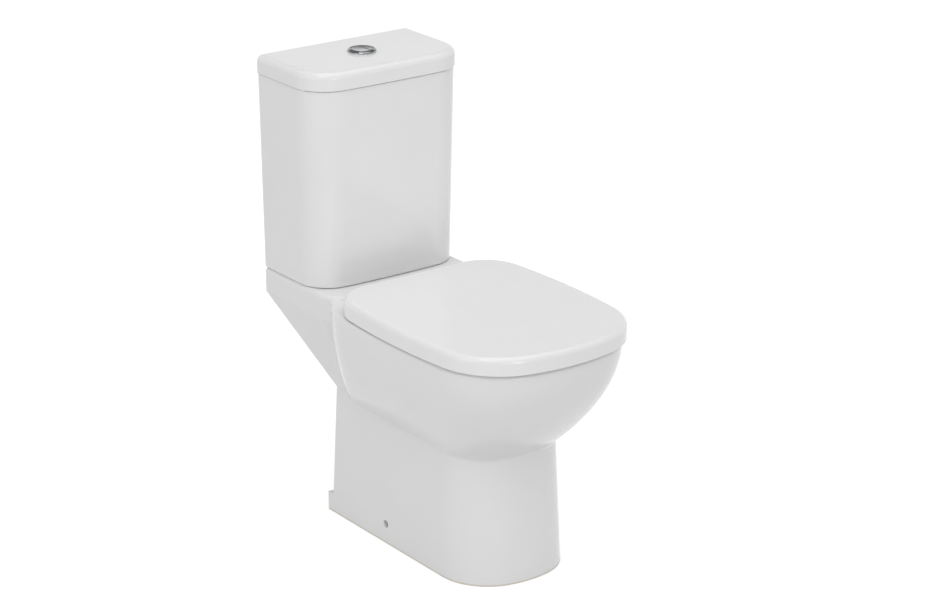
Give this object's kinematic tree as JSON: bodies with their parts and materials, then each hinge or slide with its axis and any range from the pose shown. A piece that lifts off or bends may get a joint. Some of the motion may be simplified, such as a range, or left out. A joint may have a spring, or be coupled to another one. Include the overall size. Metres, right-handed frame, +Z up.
{
  "type": "close coupled toilet",
  "caption": "Floor-standing close-coupled toilet: glazed pan with a hollow pedestal and trap, cistern with lid and dual flush button, wrap-over seat and cover.",
  "frame": {"origin": "middle of the footprint of the whole object, on the floor", "axes": "+Z up, +Y towards the wall behind the cistern, +X to the right of someone who faces the wall"},
  "size_m": [0.354, 0.6569, 0.787],
  "materials": {
    "glazed_china": "white glaze, high gloss",
    "seat_plastic": "moulded thermoset, high gloss",
    "chromed": "bright plated",
    "white_plastic": "moulded, satin",
    "tinted_plastic": "moulded, satin",
    "seal_rubber": "matt",
    "buffer_rubber": "satin",
    "stainless": "brushed",
    "brassware": "plain"
  },
  "bodies": {
    "pan": {"pan": "glazed_china", "trapway": "glazed_china", "flush_duct": "glazed_china", "cistern": "glazed_china", "coupling_gasket": "seal_rubber", "coupling_bolts": "brassware", "coupling_seals": "seal_rubber", "coupling_washers": "stainless", "coupling_wing_nuts": "brassware", "flush_valve_base": "white_plastic", "flush_valve_tower": "white_plastic", "flush_valve_washer": "seal_rubber", "flush_valve_backnut": "white_plastic", "fill_valve_stem": "white_plastic", "fill_valve_head": "white_plastic", "fill_valve_washer": "seal_rubber", "fill_valve_backnut": "white_plastic", "hinge_pillars": "stainless", "hinge_pins": "stainless", "hinge_studs": "stainless", "hinge_washers": "stainless", "hinge_wing_nuts": "brassware"},
    "seat": {"seat_ring": "seat_plastic", "seat_buffers": "buffer_rubber"},
    "cover": {"seat_cover": "seat_plastic", "cover_buffers": "buffer_rubber"},
    "lid": {"cistern_lid": "glazed_china", "button_bezel": "chromed", "button_locknut": "white_plastic"},
    "full_button": {"full_flush_button": "chromed", "full_flush_rod": "white_plastic", "full_flush_spring": "stainless"},
    "half_button": {"half_flush_button": "chromed", "half_flush_rod": "white_plastic", "half_flush_spring": "stainless"},
    "full_plunger": {"full_flush_plunger": "tinted_plastic"},
    "half_plunger": {"half_flush_plunger": "tinted_plastic"},
    "flush_core": {"flush_valve_core": "tinted_plastic", "flush_valve_seal": "seal_rubber"},
    "float": {"fill_valve_float": "tinted_plastic"},
    "float_arm": {"fill_valve_arm": "tinted_plastic"}
  },
  "joints": [
    {"name": "seat_raise", "type": "hinge", "parent": "pan", "child": "seat", "pos_m": [0, 0.0955, 0.4185], "axis": [-1, 0, 0], "range_deg": [0, 95]},
    {"name": "cover_raise", "type": "hinge", "parent": "seat", "child": "cover", "pos_m": [0, 0.0955, 0.4185], "axis": [1, 0, 0], "range_deg": [-95, 0]},
    {"name": "cistern_lid_lift", "type": "slide", "parent": "pan", "child": "lid", "axis": [0, 0, 1], "range_m": [0, 0.15]},
    {"name": "full_flush_press", "type": "slide", "parent": "lid", "child": "full_button", "axis": [0, 0, -1], "range_m": [0, 0.006], "stiffness_N_per_m": 400, "springref_m": -0.004, "deforming": ["full_flush_spring"]},
    {"name": "half_flush_press", "type": "slide", "parent": "lid", "child": "half_button", "axis": [0, 0, -1], "range_m": [0, 0.006], "stiffness_N_per_m": 400, "springref_m": -0.004, "deforming": ["half_flush_spring"]},
    {"name": "full_plunger_press", "type": "slide", "parent": "pan", "child": "full_plunger", "axis": [0, 0, -1], "range_m": [0, 0.006]},
    {"name": "half_plunger_press", "type": "slide", "parent": "pan", "child": "half_plunger", "axis": [0, 0, -1], "range_m": [0, 0.006]},
    {"name": "flush_valve_lift", "type": "slide", "parent": "pan", "child": "flush_core", "axis": [0, 0, 1], "range_m": [0, 0.022]},
    {"name": "float_rise", "type": "slide", "parent": "pan", "child": "float", "axis": [0, 0, 1], "range_m": [0, 0.012]},
    {"name": "float_arm_tip", "type": "hinge", "parent": "pan", "child": "float_arm", "pos_m": [0.102, 0.3005, 0.6845], "axis": [-1, 0, 0], "range_deg": [0, 17]}
  ],
  "couplings": [
    {"joint": "full_plunger_press", "follows": "full_flush_press", "ratio": 1},
    {"joint": "half_plunger_press", "follows": "half_flush_press", "ratio": 1},
    {"joint": "flush_valve_lift", "follows": "full_flush_press", "ratio": 3.65},
    {"joint": "float_arm_tip", "follows": "float_rise", "rad_per_m": 24.39}
  ]
}
